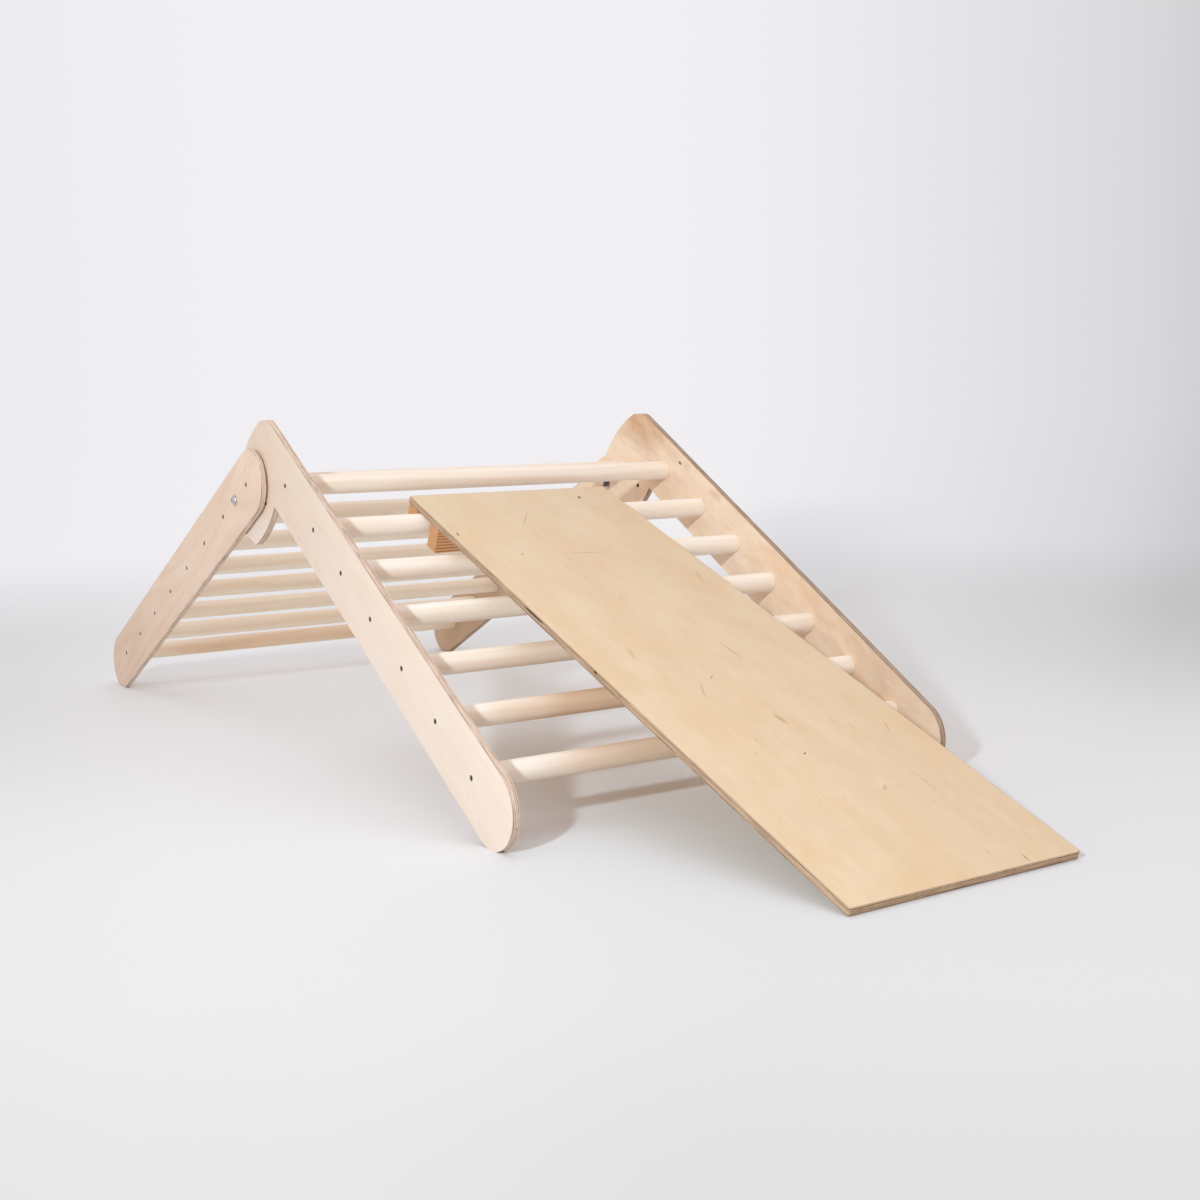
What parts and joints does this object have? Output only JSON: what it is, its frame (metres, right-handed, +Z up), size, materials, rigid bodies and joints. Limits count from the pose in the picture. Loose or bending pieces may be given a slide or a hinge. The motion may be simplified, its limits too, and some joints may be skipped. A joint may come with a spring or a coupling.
{
  "type": "folding climbing triangle",
  "caption": "Folding wooden climbing triangle for small children: two ladders of dowel rungs on a pair of pivot bolts, and a plywood ramp hooked over a rung.",
  "frame": {"origin": "on the floor under the middle of the whole object", "axes": "+X along the rungs from the left panels to the right ones, +Y from the ramp's low end to the rear feet, +Z up"},
  "size_m": [0.8412, 2.2429, 0.5878],
  "materials": {
    "front_plywood": "satin birch plywood, cream faces and layered edges",
    "rear_plywood": "satin birch plywood, a little darker",
    "front_dowel": "satin beech dowel, pale cream",
    "rear_dowel": "satin beech dowel, tan",
    "ramp_plywood": "satin birch plywood, warm yellow tan",
    "pine": "satin pine, orange brown with strong grain",
    "screw_steel": "dark zinc, satin",
    "bolt_steel": "bright zinc, satin",
    "nut_steel": "grey zinc, satin"
  },
  "bodies": {
    "front_ladder": {"front_panel_left": "front_plywood", "front_panel_right": "front_plywood", "front_rung_1": "front_dowel", "front_rung_2": "front_dowel", "front_rung_3": "front_dowel", "front_rung_4": "front_dowel", "front_rung_5": "front_dowel", "front_rung_6": "front_dowel", "front_rung_7": "front_dowel", "head_rung": "front_dowel", "front_screws_left": "screw_steel", "front_screws_right": "screw_steel", "head_screws": "screw_steel", "pivot_bolt_left": "bolt_steel", "pivot_bolt_right": "bolt_steel", "pivot_nut_left": "nut_steel", "pivot_nut_right": "nut_steel", "outer_washer_left": "bolt_steel", "outer_washer_right": "bolt_steel", "spacer_washer_left": "bolt_steel", "spacer_washer_right": "bolt_steel", "inner_washer_left": "bolt_steel", "inner_washer_right": "bolt_steel"},
    "rear_ladder": {"rear_panel_left": "rear_plywood", "rear_panel_right": "rear_plywood", "rear_rung_1": "rear_dowel", "rear_rung_2": "rear_dowel", "rear_rung_3": "rear_dowel", "rear_rung_4": "rear_dowel", "rear_rung_5": "rear_dowel", "rear_rung_6": "rear_dowel", "rear_rung_7": "rear_dowel", "rear_screws_left": "screw_steel", "rear_screws_right": "screw_steel", "lock_screws": "screw_steel"},
    "ramp": {"ramp_board": "ramp_plywood", "ramp_batten_upper": "pine", "ramp_batten_lower": "pine", "ramp_screws": "screw_steel"}
  },
  "joints": [
    {"name": "fold", "type": "hinge", "parent": "front_ladder", "child": "rear_ladder", "pos_m": [0, 0.27759, 0.44623], "axis": [-1, 0, 0], "range_deg": [0, 56]},
    {"name": "ramp_tilt", "type": "hinge", "parent": "front_ladder", "child": "ramp", "pos_m": [-0.006, -0.04331, 0.40761], "axis": [-1, 0, 0], "range_deg": [-9, 60]}
  ]
}
